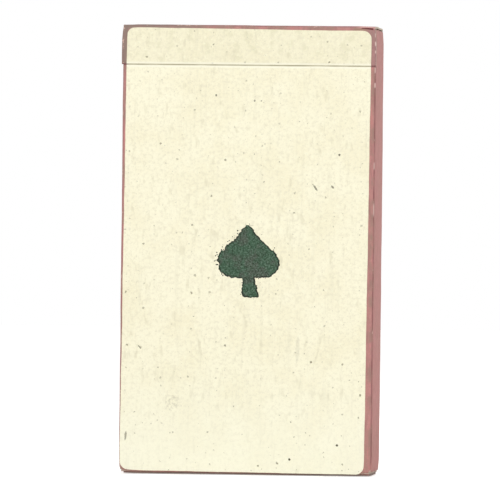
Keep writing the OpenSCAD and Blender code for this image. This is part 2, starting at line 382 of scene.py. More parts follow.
def outer_board(place, carton):
    """Colour, roughness and relief of the mauve paper outside, with its dirt and rubbed folds."""
    x, y, z = place.split()
    cloud = place.noise(70, 3, 0.55)
    patch = place.noise(330, 4, 0.6)
    grain = place.noise(2600, 3, 0.6)
    streak = place.stretch(1, 1, 0.12).noise(1400, 3, 0.6)
    smear = place.stretch(1, 0.6, 1).noise(600, 5, 0.7)

    # The distance from the nearest fold is in millimetres.
    from_side = abs(HALF.x - abs(x - MIDDLE.x))
    from_face = abs(y - FRONT) & abs(BACK - y)
    from_end = abs(z) & abs(TOP - z)
    edge = ((from_side & from_face) | ((from_side | from_face) & from_end)) * 1000
    facing = y.rise(FRONT + 1.2 * MM, FRONT + 0.4 * MM)
    lined = 0.15 + facing * 0.35
    side = from_side.rise(0.5 * MM, 0.1 * MM)
    lid = z > CREASE
    rub = patch * 0.8 + grain * 0.45 - edge * 0.5 - facing * 0.1
    layers = {
        "faded clouds": (cloud.rise(0.36, 0.66) * 0.75, carton.faded),
        "faded patches": (patch.rise(0.5, 0.7) * 0.3, carton.faded),
        "pale patches": (patch.rise(0.45, 0.3) * 0.25, "CE9792"),
        "dark streaks": (streak.rise(0.5, 0.64) * lined, "A0706E"),
        "pale streaks": (streak.rise(0.46, 0.34) * lined, "CC8583"),
        "pale grain": (grain.rise(0.55, 0.75) * 0.22, carton.torn),
        "dark grain": (grain.rise(0.45, 0.25) * 0.25, carton.dirt),
        "redder sides": (side * 0.5, "BB7A75"),
        "dark smears": (side * smear.rise(0.5, 0.66) * 0.4, "A27069"),
        "pale smears": (side * smear.rise(0.46, 0.32) * 0.4, "CE8B85"),
        "handled folds": (edge.rise(2.2, 0.3) * patch.rise(0.42, 0.6) * 0.55, carton.dirt),
        "bruised folds": (edge.rise(0.5, 0.15) * patch.rise(0.56, 0.42) * 0.5, "84636A"),
        "dull lid": (lid * x.rise(-4 * MM, -24 * MM) * edge.rise(2.0, 0.8) * 0.7, "877A70"),
        "rubbed folds": (rub.rise(0.48, 0.60), carton.torn),
        "bare folds": (rub.rise(0.56, 0.66) * 0.9, "F0E0CF"),
    }

    # The right front fold
    on_fold = abs(from_side - from_face).rise(0.4 * MM, 0.15 * MM)
    fold_line = (x > RIGHT - 2.8 * MM) * on_fold * edge.rise(0.75, 0.35)
    below_lid = z.rise(CREASE + 2.15 * MM, CREASE - 5.85 * MM)
    layers["dark fold"] = (fold_line * below_lid * streak.rise(0.4, 0.6) * 0.8, "8F5D5C")
    for level, reach, cover in FOLD_RUBS:
        bare = abs(z - level + (patch - 0.5) * MM).rise(reach, reach * 0.4)
        layers[f"fold rubbed at {level}"] = (fold_line * bare * cover, "F2D6CC")

    # The crease, darkened with dirt and painted shade, and the lid's right margin
    front = y < FRONT + 0.7 * MM
    crease = abs(z - CREASE).rise(0.36 * MM, 0.1 * MM) * front
    under_label = abs(x) < BOX["front_label"][1].x
    margin = x.rise(RIGHT - 3.8 * MM, RIGHT - 2.3 * MM)
    layers["dull margin"] = (lid * margin * front * 0.25, "8C7A80")
    # Dirt and painted shade darken the crease.
    layers["dirty crease"] = (crease * 0.75, "77464A")
    layers["crease under the label"] = (crease * under_label, "D3CCAE")

    # The lid's upper right corner
    along = (x - SPLIT_START) / SPLIT_LENGTH
    near_front = (y + (patch - 0.5) * (3 * MM) - FRONT).rise(1.2 * MM, 0.4 * MM)
    corner = along.rise(-0.4, 0.3) * z.rise(TOP - 0.8 * MM, TOP - 0.3 * MM) * near_front
    stain = abs(x - STAIN[0]).rise(2.2 * MM, 1.4 * MM) * abs(z - STAIN[1]).rise(0.4 * MM, 0.1 * MM)
    arc = abs(z - SPLIT_HEIGHT + along * along * SPLIT_DROP) - along * SPLIT_WIDEN
    split = arc.rise(0.16 * MM, 0.04 * MM) * along.rise(0, 0.2) * along.rise(1.05, 0.95)
    layers["rubbed corner"] = (corner * 0.8, "E2B2AB")
    layers["brown stain"] = (stain * front * 0.7, "9C806C")
    layers["split paper"] = (split * front, "6A2F31")

    height = grain * 0.5 + patch * 0.4 - rub.rise(0.50, 0.72) * 0.5
    return layered(carton.outside, layers), 0.62 + patch * 0.2, height


def inner_board(place, carton):
    """Colour, roughness and relief of the bare board."""
    cloud = place.noise(120, 3)
    fibre = place.stretch(1, 1, 0.15).noise(2200, 4, 0.65)
    z = place.split()[Z]
    # The foot is darkened with dirt and painted shade, where it stands on the floor under the folds.
    base = layered(carton.inside, {
        "grey clouds": (cloud.rise(0.35, 0.68), "CABDAA"),
        "dark fibres": (fibre.rise(0.5, 0.66) * 0.5, "B3A38E"),
        "pale fibres": (fibre.rise(0.46, 0.3) * 0.5, "E8DFD2"),
        "dirt and painted shade at the foot": (z.rise(0.9 * MM, 0.4 * MM) * 0.8, "7D6560"),
    })
    return base, 0.75 + cloud * 0.2, fibre


def flap_board(place, carton, up):
    """Colour, roughness and relief of a flat flap.

    It is mauve on the side that faces up, or down where up is -1, and bare elsewhere.
    """
    facing = place.node("ShaderNodeTexCoord", output=1).split()[Z] * up
    printed = facing.rise(0.4, 0.6)
    base, roughness, height = outer_board(place, carton)
    bare, bare_roughness, bare_height = inner_board(place, carton)
    roughness = roughness * printed + bare_roughness * (1 - printed)
    height = height * printed + bare_height * (1 - printed)
    return printed.mix(bare, base), roughness, height


def board_finishes(carton):
    """Finishes of the outside of the folded board, and of its inside and cut edges."""
    outside = finish("mauve_board", outer_board, carton, depth=OUTER_RELIEF)
    return outside, finish("bare_board", inner_board, carton, depth=INNER_RELIEF)


# Finishes of the label and the paint


# Cells to the metre, share of bare cells, smallest and largest speck as a share of a cell, and cover
LABEL_SPECKS = ((230, 0.72, 0.022, 0.075, 0.8), (430, 0.62, 0.02, 0.09, 0.5))

# Place across and up, reach, width, lean and cover of each larger mark
LABEL_MARKS = (
    (0.0175, 0.0743, 0.0009, 0.00024, -0.6, 0.75), (0.0219, 0.0746, 0.0005, 0.00024, -0.7, 0.75),
    (0.0236, 0.0829, 0.0003, 0.00026, 0.0, 0.9), (-0.0085, 0.0980, 0.0003, 0.00026, 0.4, 0.8),
    (0.0015, 0.0967, 0.0003, 0.00024, 0.0, 0.7), (-0.0277, 0.0327, 0.0006, 0.0002, -0.7, 0.7),
    (-0.0311, 0.0097, 0.0012, 0.00026, 0.1, 0.6), (0.0238, 0.0079, 0.0003, 0.0003, 0.0, 1.0),
    (0.0115, 0.0041, 0.0003, 0.0003, 0.0, 1.0), (0.0133, 0.0325, 0.0034, 0.0005, 0.04, 0.12),
)

# Place and reach of the thumbed patch near the foot of the label
SMUDGE = (-0.0192, 0.0186)
SMUDGE_REACH = 2.6 * MM


def label_paper(place, label):
    """Cream paper with mottling, specks, faint streaks, a dirty crease and a greyer top."""
    x, _, z = place.split()
    cloud = place.noise(95, 4, 0.55)
    fingered = place.noise(420, 3, 0.6)
    mottle = place.noise(1100, 4, 0.65)
    grain = place.noise(3000, 2, 0.6)
    streak = place.stretch(1, 1, 0.08).noise(900, 3, 0.6)
    fibre = place.stretch(1, 1, 0.35).noise(620, 2, 0.5)
    above = z.rise(CREASE - 0.2 * MM, CREASE + 0.2 * MM)
    layers = {
        "yellowed clouds": (cloud.rise(0.38, 0.68) * 0.7, label.aged),
        # Painted shade: the paper above the crease is darkened evenly.
        "painted shade on the lid": (above * 0.55, label.handled),
        "fingered lid": (above * fingered.rise(0.5, 0.66) * 0.45, "E0DCBB"),
        "dark mottling": (mottle.rise(0.48, 0.64) * 0.5, "E8E3C9"),
        "pale mottling": (mottle.rise(0.46, 0.32) * 0.6, "FFFDE4"),
        "streaks": (streak.rise(0.54, 0.68) * 0.22, "E4DFC5"),
        "grain": (grain.rise(0.54, 0.74) * 0.4, "DBD6BC"),
        "fibres": (fibre.rise(0.58, 0.72) * 0.42, "DCD6B9"),
        # Painted light: the paper is lightened towards the foot, where the lamps' light falls off.
        "painted light at the foot": (z.rise(34 * MM, 0) * 0.5, "FFFFED"),
    }

    # Specks lie in the cells of a shaken grid.
    flat = place.node("ShaderNodeCombineXYZ", {}, {0: x, 1: z})
    jitter = place.node("ShaderNodeTexNoise", {}, {"Vector": place, "Scale": 2600}, 1)
    shaken = place.node(
        "ShaderNodeVectorMath", {"operation": "MULTIPLY_ADD"}, {0: jitter, 1: [0.7 * MM] * 3, 2: flat}
    )
    for cells, bare, small, large, cover in LABEL_SPECKS:
        grid = ("ShaderNodeTexVoronoi", {"voronoi_dimensions": "2D"}, {"Vector": shaken, "Scale": cells})
        away = place.node(*grid)
        chance, weight, tone = place.node(*grid, 1).split()
        size = small + weight * (large - small)
        spot = (size - away).rise(-0.012, 0.02) * (chance > bare) * (0.35 + tone * 0.65)
        layers[f"specks, {cells} cells"] = (spot * cover, label.speck)

    from_crease = abs(z - CREASE)
    depth = place.stretch(1, 0, 0).noise(130, 2).rise(0.32, 0.6) * 0.6 + 0.4
    smudge = x.disc(z, SMUDGE, SMUDGE_REACH) * mottle.rise(0.42, 0.62)
    # A painted highlight lies in a band either side of the crease.
    layers["pale crease"] = (from_crease.rise(0.9 * MM, 0.4 * MM) * 0.7, "FFFDEA")
    # The crease line is dirt and painted shade, stronger in some places than in others.
    layers["crease line"] = (from_crease.rise(0.26 * MM, 0.08 * MM) * depth, label.line)
    layers["smudge"] = (smudge * 0.22, label.speck)
    for side, height, reach, wide, slant, cover in LABEL_MARKS:
        mark = (x + (grain - 0.5) * (0.4 * MM)).stroke(z, (side, height), reach, wide, slant)
        layers[f"mark at {side}, {height}"] = (mark * cover, label.mark)
    return layered(label.paper, layers), 0.66 + mottle * 0.2, grain * 0.4 + mottle * 0.6


def stencil_paint(place, spade):
    """Dull green paint, blotched with grey and thick at its edge."""
    cloud = place.noise(260, 3, 0.55)
    blotch = place.noise(900, 4, 0.65)
    brush = place.stretch(1, 1, 0.4).noise(1900, 3, 0.6)
    grit = place.noise(2500, 2, 0.6)
    rim = place.node("ShaderNodeAttribute", {"attribute_name": "rim"}, output=2)
    thick = (rim + (blotch - 0.5) * (spade.rim * 2)).rise(spade.rim, spade.rim * 0.35)
    base = layered(spade.green, {
        "grey clouds": (cloud.rise(0.47, 0.62) * 0.9, spade.grey),
        "dark blotches": (blotch.rise(0.5, 0.66) * 0.45, "36523D"),
        "pale blotches": (blotch.rise(0.46, 0.34) * 0.35, "617A66"),
        "brush marks": (brush.rise(0.5, 0.68) * 0.6, "253728"),
        "dark grit": (grit.rise(0.5, 0.66) * 0.85, "223424"),
        "pale grit": (grit.rise(0.48, 0.34) * 0.8, "6A8070"),
        "thick rim": (thick * 0.9, spade.black),
    })
    return base, 0.55 + blotch * 0.25, blotch * 0.6 + brush * 0.4


# Sheets of board, paper and paint


def sheet(corners):
    """A flat sheet between a few corners, which run anticlockwise as seen from its outside."""
    bm = bmesh.new()
    bm.faces.new([bm.verts.new(place) for place in corners])
    bm.normal_update()
    return bm


def rectangle(start, opposite):
    """A flat sheet between two opposite corners. From the first it goes across, to the other's x."""
    return sheet([start, (opposite[0], *start[1:]), opposite, (start[0], *opposite[1:])])


def whole(bm):
    """All of a mesh, as the operators take it."""
    return bm.verts[:] + bm.edges[:] + bm.faces[:]


def settle(bm):
    """Sorts points, edges and faces by place, because some operators leave them in no fixed order."""
    middles = (
        (bm.verts, lambda v: v.co[:]),
        (bm.edges, lambda e: (e.verts[0].co + e.verts[1].co)[:]),
        (bm.faces, lambda f: f.calc_center_median()[:]),
    )
    for parts, middle in middles:
        order = {part: i for i, part in enumerate(sorted(parts, key=middle))}
        parts.sort(key=order.get)


def between(low, high, most):
    """Even places between two ends, not more than a length apart."""
    count = math.ceil((high - low) / most)
    return [low + (high - low) * i / count for i in range(1, count)]


def cut(bm, axis, places):
    """Cuts a mesh across, so that it can follow a bent surface."""
    across = Vector()
    across[axis] = 1
    for place in places:
        bmesh.ops.bisect_plane(
            bm, geom=whole(bm), dist=CUT_REACH, plane_co=across * place, plane_no=across
        )


def part_off(bm, point, outwards):
    """Cuts off what lies beyond a plane."""
    bmesh.ops.bisect_plane(
        bm, geom=whole(bm), dist=CUT_REACH, plane_co=point, plane_no=outwards, clear_outer=True
    )


def round_off(bm, corners, radius, segments):
    """Rounds corners of a flat sheet."""
    bmesh.ops.bevel(
        bm, geom=corners, offset=radius, segments=segments, profile=0.5, affect="VERTICES", material=-1
    )


def face_towards(bm, outwards):
    """Turns the faces of a flat sheet to one side."""
    bm.normal_update()
    for face in bm.faces:
        if face.normal.dot(outwards) < 0:
            face.normal_flip()


def lengthen(bm, start, places):
    """Draws edges on from a point through further places, and returns the last point."""
    for place in places:
        new = bm.verts.new(place)
        bm.edges.new((start, new))
        start = new
    return start


def fold(bm, axis, place, centre, about, turn, within=(0, 1)):
    """Carries a sheet's straight rim on round half a fold.

    The rim is where the sheet ends at a place on an axis. Within gives how far from the carton's middle
    plane it may start and end.
    """
    rim = [
        e for e in bm.edges
        if e.is_boundary and all(
            abs(v.co[axis] - place) < SAME and within[0] <= abs(v.co.x) <= within[1] for v in e.verts
        )
    ]
    bmesh.ops.spin(bm, geom=rim, cent=centre, axis=about, dvec=(0, 0, 0), angle=turn, steps=4)
    settle(bm)


# Wear of the carton: a share for the narrow panels, waves to the metre with their shares, and reaches
NARROW_SWELL = 0.6
CRUSH_REACH = 5 * MM
WANDERS = ((95, 1.0), (380, 0.4))
CREASE_CALM = 3 * MM
GROOVE_REACH = 0.2 * MM
LEVEL_FOOT = 0.5 * MM


def worn(place, carton):
    """How far a point of the carton has moved in use.

    Panels are swollen, corners are crushed, edges stray and the lid's crease is pressed in.
    """
    out = Vector([(place[i] - MIDDLE[i]) / HALF[i] for i in range(3)])
    full = [max(0.0, 1 - out[i] * out[i]) for i in range(3)]
    move = Vector((
        out.x * full[Y] * full[Z] * NARROW_SWELL,
        out.y * full[X] * full[Z],
        max(0.0, out.z) * full[X] * full[Y] * NARROW_SWELL,
    )) * carton.swell
    away = Vector([HALF[i] - abs(place[i] - MIDDLE[i]) for i in range(3)]).length
    knock = carton.crush * max(0.0, 1 - away / CRUSH_REACH) ** 2
    move -= Vector([math.copysign(knock, out[i]) for i in range(3)])
    for waves, share in WANDERS:
        move += noise.noise_vector(place * waves) * carton.wander * share
    if place.y < FRONT + BOARD:
        from_crease = place.z - CREASE
        move.y *= 1 - math.exp(-((from_crease / CREASE_CALM) ** 2))
        move.y += carton.groove * math.exp(-((from_crease / GROOVE_REACH) ** 2))
    if place.z < LEVEL_FOOT:
        move.z = max(move.z, 0.0)
    return move


def thicken(bm, carton, thickness):
    """Wears a sheet and gives it its thickness, inwards. New faces take the second finish."""
    for v in bm.verts:
        v.co += worn(v.co, carton)
    skin = set(bm.faces)
    bmesh.ops.solidify(bm, geom=bm.faces[:], thickness=thickness)
    for face in bm.faces:
        face.material_index = 0 if face in skin else 1
    settle(bm)


def flare(bm, carton):
    """Draws out the left edge of the lid."""
    for v in bm.verts:
        v.co.x -= carton.flare * max(0.0, -v.co.x / HALF.x) ** 6


def piece(bm, name, node, finishes):
    """Makes an object of a mesh. It stands for a CAD node and moves with that node's body."""
    settle(bm)
    mesh = bpy.data.meshes.new(name)
    bm.to_mesh(mesh)
    bm.free()
    for material in finishes:
        mesh.materials.append(material)
    mesh.shade_smooth()
    mesh.set_sharp_from_angle(angle=SMOOTH_ANGLE)
    made = bpy.data.objects.new(name, mesh)
    bpy.context.scene.collection.objects.link(made)
    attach(made, frame["nodes"][node]["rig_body"])
    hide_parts(node)


def board_piece(bm, carton, name, node):
    """Makes an object of folded board, mauve outside and bare inside."""
    piece(bm, name, node, board_finishes(carton))


def dress(name, material):
    """Gives a CAD node that stays in view its finish."""
    node = frame["nodes"][name]
    node.data.materials.clear()
    node.data.materials.append(material)


# Where the sheets are cut across, more closely by the crease and at the lid's ends
GRID = 2 * MM
CREASE_CUTS = [CREASE + step * MM for step in (-1.4, -0.6, -0.3, -0.12, 0.12, 0.3, 0.6, 1.4)]
X_CUTS = between(LEFT, RIGHT, GRID)
Y_CUTS = between(FRONT, BACK, GRID)
Z_CUTS = sorted(between(0, TOP, GRID) + CREASE_CUTS)
LID_END = 0.6 * MM


class CARTON_OT_front(bpy.types.Operator):
    """Front panel, folded at both sides and at its foot"""

    bl_idname = "carton.front"
    bl_label = "Front panel"

    def execute(self, context):
        carton = context.scene.carton
        bm = rectangle((FOLD_LEFT, FRONT, FRONT_FOOT), (FOLD_RIGHT, FRONT, CREASE_LOW))
        cut(bm, X, X_CUTS)
        cut(bm, Z, Z_CUTS)
        fold(bm, X, FOLD_LEFT, (FOLD_LEFT, FOLD_FRONT, 0), UP, -EIGHTH)
        fold(bm, X, FOLD_RIGHT, (FOLD_RIGHT, FOLD_FRONT, 0), UP, EIGHTH)
        foot = (0, FOLD_FRONT, FRONT_FOOT)
        fold(bm, Z, FRONT_FOOT, foot, ACROSS, EIGHTH, (0, FOLD_RIGHT + SAME))
        thicken(bm, carton, BOARD)
        board_piece(bm, carton, "front_board", "front_panel")
        return {"FINISHED"}


class CARTON_OT_back(bpy.types.Operator):
    """Back panel with its thumb notch"""

    bl_idname = "carton.back"
    bl_label = "Back panel"

    def execute(self, context):
        carton = context.scene.carton
        bm = bmesh.new()
        start = bm.verts.new((carton.notch, BACK, TOP))
        bmesh.ops.spin(
            bm, geom=[start], cent=(0, BACK, TOP), axis=DEEP, dvec=(0, 0, 0), angle=math.pi, steps=32
        )
        ends = [v for v in bm.verts if abs(v.co.z - TOP) < SAME]
        ends.sort(key=lambda v: v.co.x)
        corners = [
            (FOLD_GLUE, BACK, TOP), (FOLD_GLUE, BACK, FOLD),
            (FOLD_RIGHT, BACK, FOLD), (FOLD_RIGHT, BACK, TOP),
        ]
        last = lengthen(bm, ends[0], corners)
        bm.edges.new((last, ends[1]))
        bmesh.ops.contextual_create(bm, geom=bm.edges[:])
        face_towards(bm, Vector(DEEP))
        cut(bm, X, X_CUTS)
        cut(bm, Z, Z_CUTS)
        fold(bm, X, FOLD_RIGHT, (FOLD_RIGHT, FOLD_BACK, 0), UP, -EIGHTH)
        fold(bm, X, FOLD_GLUE, (FOLD_GLUE, FOLD_BACK, 0), UP, EIGHTH)
        fold(bm, Z, FOLD, (0, FOLD_BACK, FOLD), ACROSS, -EIGHTH, (0, FOLD_RIGHT + SAME))
        thicken(bm, carton, BOARD)
        board_piece(bm, carton, "back_board", "back_panel")
        return {"FINISHED"}


class CARTON_OT_sides(bpy.types.Operator):
    """Left and right side panels, cut away behind the lid's strip and mitred for the dust flaps"""

    bl_idname = "carton.sides"
    bl_label = "Side panels"

    def execute(self, context):
        carton = context.scene.carton
        behind = BOX["dust_flap_right"][0].y
        for name, side in (("left", -1), ("right", 1)):
            wall = side * RIGHT
            fold_x = side * FOLD_RIGHT
            rear = BACK if side < 0 else FOLD_BACK
            corners = [
                (wall, FOLD_FRONT, SIDE_FOOT), (wall, rear, SIDE_FOOT), (wall, rear, SIDE_TOP),
                (wall, behind, SIDE_TOP), (wall, behind, CREASE_LOW), (wall, FOLD_FRONT, CREASE_LOW),
            ]
            bm = sheet(corners[::side])
            cut(bm, Y, Y_CUTS)
            cut(bm, Z, Z_CUTS)
            fold(bm, Y, FOLD_FRONT, (fold_x, FOLD_FRONT, 0), UP, -side * EIGHTH)
            if side > 0:
                fold(bm, Y, rear, (fold_x, FOLD_BACK, 0), UP, EIGHTH)
            flat_part = (RIGHT - SAME, RIGHT + SAME)
            fold(bm, Z, SIDE_FOOT, (fold_x, 0, SIDE_FOOT), DEEP, side * EIGHTH, flat_part)
            thicken(bm, carton, BOARD)
            part_off(bm, (wall, 0, SIDE_TOP), (-side, 0, 1))
            bmesh.ops.holes_fill(bm, edges=[e for e in bm.edges if e.is_boundary])
            board_piece(bm, carton, f"{name}_board", f"{name}_side_panel")
        return {"FINISHED"}


class CARTON_OT_bottom(bpy.types.Operator):
    """Outer bottom flap, and the finish of the other bottom flaps and the glue flap"""

    bl_idname = "carton.bottom"
    bl_label = "Bottom"

    def execute(self, context):
        carton = context.scene.carton
        lip = BOX["bottom_outer_flap"][0].y + carton.lip
        bm = rectangle((FOLD_GLUE, FOLD_BACK, 0), (FOLD_RIGHT, lip, 0))
        cut(bm, X, X_CUTS)
        cut(bm, Y, Y_CUTS)
        fold(bm, Y, FOLD_BACK, (0, FOLD_BACK, FOLD), ACROSS, EIGHTH)
        thicken(bm, carton, BOARD)
        board_piece(bm, carton, "bottom_board", "bottom_outer_flap")
        under = finish("bottom_flap_board", flap_board, carton, -1, depth=INNER_RELIEF)
        for name in ("bottom_inner_flap", "bottom_dust_flap_left", "bottom_dust_flap_right"):
            dress(name, under)
        dress("glue_flap", board_finishes(carton)[1])
        return {"FINISHED"}


class CARTON_OT_lid(bpy.types.Operator):
    """Lid: the strip above the crease, the top, the tuck flap and the finish of the dust flaps"""

    bl_idname = "carton.lid"
    bl_label = "Lid"

    def execute(self, context):
        carton = context.scene.carton
        low = BOX["lid_hinge_strip"][0].x
        high = BOX["lid_hinge_strip"][1].x
        ends = [low + LID_END, high - LID_END]
        strip = rectangle((low, FRONT, CREASE_HIGH), (high, FRONT, LID_EDGE))
        cut(strip, X, X_CUTS + ends)
        cut(strip, Z, Z_CUTS)
        fold(strip, Z, LID_EDGE, (0, FOLD_FRONT, LID_EDGE), ACROSS, -EIGHTH)
        thicken(strip, carton, BOARD)
        flare(strip, carton)
        board_piece(strip, carton, "lid_strip", "lid_hinge_strip")

        tuck_low, tuck_high = BOX["tuck_flap"]
        top = rectangle((low, FOLD_FRONT, TOP), (high, TUCK_EDGE, TOP))
        cut(top, X, X_CUTS + ends + [tuck_low.x, tuck_high.x])
        cut(top, Y, Y_CUTS)
        tuck_fold = (0, TUCK_EDGE, LID_EDGE)
        fold(top, Y, FOLD_FRONT, (0, FOLD_FRONT, LID_EDGE), ACROSS, EIGHTH)
        fold(top, Y, TUCK_EDGE, tuck_fold, ACROSS, -EIGHTH, (0, tuck_high.x + SAME))
        thicken(top, carton, BOARD)
        flare(top, carton)
        board_piece(top, carton, "lid_top", "lid_top_panel")

        tuck = rectangle((tuck_high.x, TUCK_BACK, tuck_low.z), (tuck_low.x, TUCK_BACK, LID_EDGE))
        round_off(tuck, tuck.verts[:2], carton.tuck_corner, 10)
        cut(tuck, X, X_CUTS)
        cut(tuck, Z, Z_CUTS)
        fold(tuck, Z, LID_EDGE, tuck_fold, ACROSS, EIGHTH)
        thicken(tuck, carton, BOARD)
        board_piece(tuck, carton, "tuck_board", "tuck_flap")

        loose = finish("dust_flap_board", flap_board, carton, 1, depth=INNER_RELIEF)
        dress("dust_flap_left", loose)
        dress("dust_flap_right", loose)
        return {"FINISHED"}


# Waves to the metre of the label's stray edge, and how far from the crease they start
EDGE_WAVES = 260
EDGE_CALM = 0.2 * MM


class CARTON_OT_label(bpy.types.Operator):
    """Cream label, one sheet of paper that the crease divides between the box and the lid"""

    bl_idname = "carton.label"
    bl_label = "Label"

    def execute(self, context):
        carton = context.scene.carton
        label = context.scene.carton_label
        paper = finish("cream_paper", label_paper, label, depth=0.03 * MM, specular=0.25)
        middle = Matrix.Translation((label.shift, FACE, TOP / 2 - label.drop))
        turn = middle @ Matrix.Rotation(label.turn, 4, "Y")
        w, h = label.width / 2, label.height / 2
        for name, node, keep in (("label_below", "front_label", 1), ("label_above", "lid_label", -1)):
            bm = sheet([turn @ Vector(c) for c in ((-w, 0, -h), (w, 0, -h), (w, 0, h), (-w, 0, h))])
            for corners, radius in ((bm.verts[:3], label.corner), (bm.verts[3:], label.tight)):
                round_off(bm, corners, radius, 10)
            edge = BOX[node][1].z if keep > 0 else BOX[node][0].z
            part_off(bm, (0, 0, edge), (0, 0, keep))
            cut(bm, X, X_CUTS)
            cut(bm, Z, Z_CUTS)
            for v in bm.verts:
                if v.is_boundary and abs(v.co.z - edge) > EDGE_CALM:
                    stray = noise.noise_vector(v.co * EDGE_WAVES)
                    v.co += Vector((stray.x, 0, stray.z)) * label.stray
            thicken(bm, carton, FRONT - FACE)
            piece(bm, name, node, (paper, paper))
        return {"FINISHED"}


# Spade


# Share of the height where the paint bled most, its spread above and below, and its share on the right
BLEED_AT = 0.945
BLEED_ABOVE = 0.05
BLEED_BELOW = 0.13
BLEED_RIGHT = 0.35

# Length of the outline's edges, waves to the metre and share of its stray, and how ragged it is where the
# paint spattered and elsewhere
OUTLINE_STEP = 0.2 * MM
OUTLINE_WAVES = ((500, 0.5), (1300, 1.0), (2600, 0.7))
RAGGED = 1.2
NEAT = 0.65

# Squares of the film, and how close its points may be
FILM_GRID = 0.25 * MM
FILM_MERGE = 0.01 * MM

# Spatters: nearest to the edge, reach from there, smallest and largest radius, and stray of their outline
FLECK_NEAR = 0.25 * MM
FLECK_REACH = 0.9 * MM
FLECK_RADII = (0.08 * MM, 0.2 * MM)
FLECK_STRAY = 0.03 * MM


def spade_outline(spade, half_width, point):
    """Outline of a spade about the middle of its lobes, in short edges."""
    lobe_x = half_width - spade.lobe
    reach = math.hypot(lobe_x, point)
    touch = math.atan2(point, -lobe_x) - math.acos(spade.lobe / reach)
    bm = bmesh.new()
    tip = bm.verts.new((0, 0, point))
    shoulder = lengthen(bm, tip, [
        (lobe_x + spade.lobe * math.cos(touch), 0, spade.lobe * math.sin(touch)),
    ])
    bmesh.ops.spin(
        bm, geom=[shoulder], cent=(lobe_x, 0, 0), axis=DEEP, dvec=(0, 0, 0),
        angle=touch + math.pi / 2, steps=20,
    )
    stem = (
        (spade.neck * 0.5, spade.lobe * 0.02), (spade.neck * 0.52, spade.stem * 0.3),
        (spade.foot * 0.48, spade.stem * 0.65), (spade.foot * 0.5, spade.stem * 0.86),
        (spade.foot * 0.46, spade.stem * 0.96), (spade.foot * 0.3, spade.stem), (0, spade.stem),
    )
    lowest = min(bm.verts, key=lambda v: v.co.z)
    lengthen(bm, lowest, [(half, 0, -spade.lobe - depth) for half, depth in stem])
    bmesh.ops.mirror(bm, geom=whole(bm), axis="X", merge_dist=SAME)
    bmesh.ops.remove_doubles(bm, verts=bm.verts[:], dist=SAME)
    for e in bm.edges[:]:
        count = int(e.calc_length() / OUTLINE_STEP)
        if count:
            bmesh.ops.subdivide_edges(bm, edges=[e], cuts=count)
    return bm


def bow(bm, spade, point):
    """Curves a spade's sides, blunts its tip where the paint bled, and leans its stem over."""
    for v in bm.verts:
        rise = max(0.0, v.co.z / point)
        curve = math.sin(math.pi * min(rise, 1.0))
        spread = BLEED_ABOVE if rise > BLEED_AT else BLEED_BELOW
        bleed = spade.blunt * math.exp(-((rise - BLEED_AT) / spread) ** 2)
        if v.co.x < 0:
            v.co.x -= bleed + spade.bulge * curve
        else:
            v.co.x += bleed * BLEED_RIGHT - spade.dent * curve
        v.co.x += spade.lean * max(0.0, -spade.lobe * 0.8 - v.co.z) / spade.stem


def spattered(place):
    """Whether a point of the spade's outline is on the side where the paint spattered."""
    return place.x < 0.5 * MM and place.z > -MM


def roughen(bm, spade):
    """Moves the points of a spade's outline in and out."""
    moves = []
    for v in bm.verts:
        before, after = [e.other_vert(v).co for e in v.link_edges]
        outward = Vector((after.z - before.z, 0, before.x - after.x)).normalized()
        if outward.dot(v.co) < 0:
            outward.negate()
        stray = sum(noise.noise(v.co * waves) * share for waves, share in OUTLINE_WAVES)
        moves.append(outward * stray * spade.rough * (RAGGED if spattered(v.co) else NEAT))
    for v, move in zip(bm.verts, moves):
        v.co += move


def mark_rim(bm, edge):
    """Keeps each point's distance from the spade's edge, which tells the paint where it is thick."""
    near = KDTree(len(edge))
    for i, place in enumerate(edge):
        near.insert(place, i)
    near.balance()
    rim = bm.verts.layers.float.new("rim")
    for v in bm.verts:
        v[rim] = near.find(v.co)[2]


def spatter(bm, spade, edge):
    """Adds spatters of paint beside the spade's edge, most of them on its left."""
    chance = random.Random(SPATTER_SEED)
    starts = [p for p in edge if spattered(p)] * 3 + edge
    for _ in range(spade.flecks):
        start = chance.choice(starts)
        away = start.normalized() * (FLECK_NEAR + FLECK_REACH * chance.random() ** 2)
        blot = bmesh.ops.create_circle(
            bm, cap_ends=True, segments=7, radius=chance.uniform(*FLECK_RADII),
            matrix=Matrix.Translation(start + away) @ Matrix.Rotation(math.pi / 2, 4, "X"),
        )
        for v in blot["verts"]:
            v.co += Vector((chance.uniform(-1, 1), 0, chance.uniform(-1, 1))) * FLECK_STRAY


class CARTON_OT_spade(bpy.types.Operator):
    """Stencilled spade: a film of paint with a rough edge and spatters"""

    bl_idname = "carton.spade"
    bl_label = "Spade"

    def execute(self, context):
        carton = context.scene.carton
        spade = context.scene.carton_spade
        low, high = BOX["spade_print"]
        width = high.x - low.x
        centre = Vector(((low.x + high.x) / 2, low.y, low.z + spade.stem + spade.lobe))
        point = high.z - centre.z
        bm = spade_outline(spade, width / 2, point)
        bow(bm, spade, point)
        roughen(bm, spade)
        edge = [v.co.copy() for v in bm.verts]
        bmesh.ops.triangle_fill(bm, use_beauty=True, use_dissolve=False, edges=bm.edges[:])
        cut(bm, X, between(-width, width, FILM_GRID))
        cut(bm, Z, between(-width, width, FILM_GRID))
        bmesh.ops.remove_doubles(bm, verts=bm.verts[:], dist=FILM_MERGE)
        mark_rim(bm, edge)
        spatter(bm, spade, edge)
        bmesh.ops.translate(bm, verts=bm.verts[:], vec=centre)
        face_towards(bm, -Vector(DEEP))
        thicken(bm, carton, FACE - low.y)
        paint = finish("stencil_paint", stencil_paint, spade, depth=0.03 * MM, specular=0.15)
        piece(bm, "spade_paint", "spade_print", (paint, paint))
        return {"FINISHED"}


# Cards


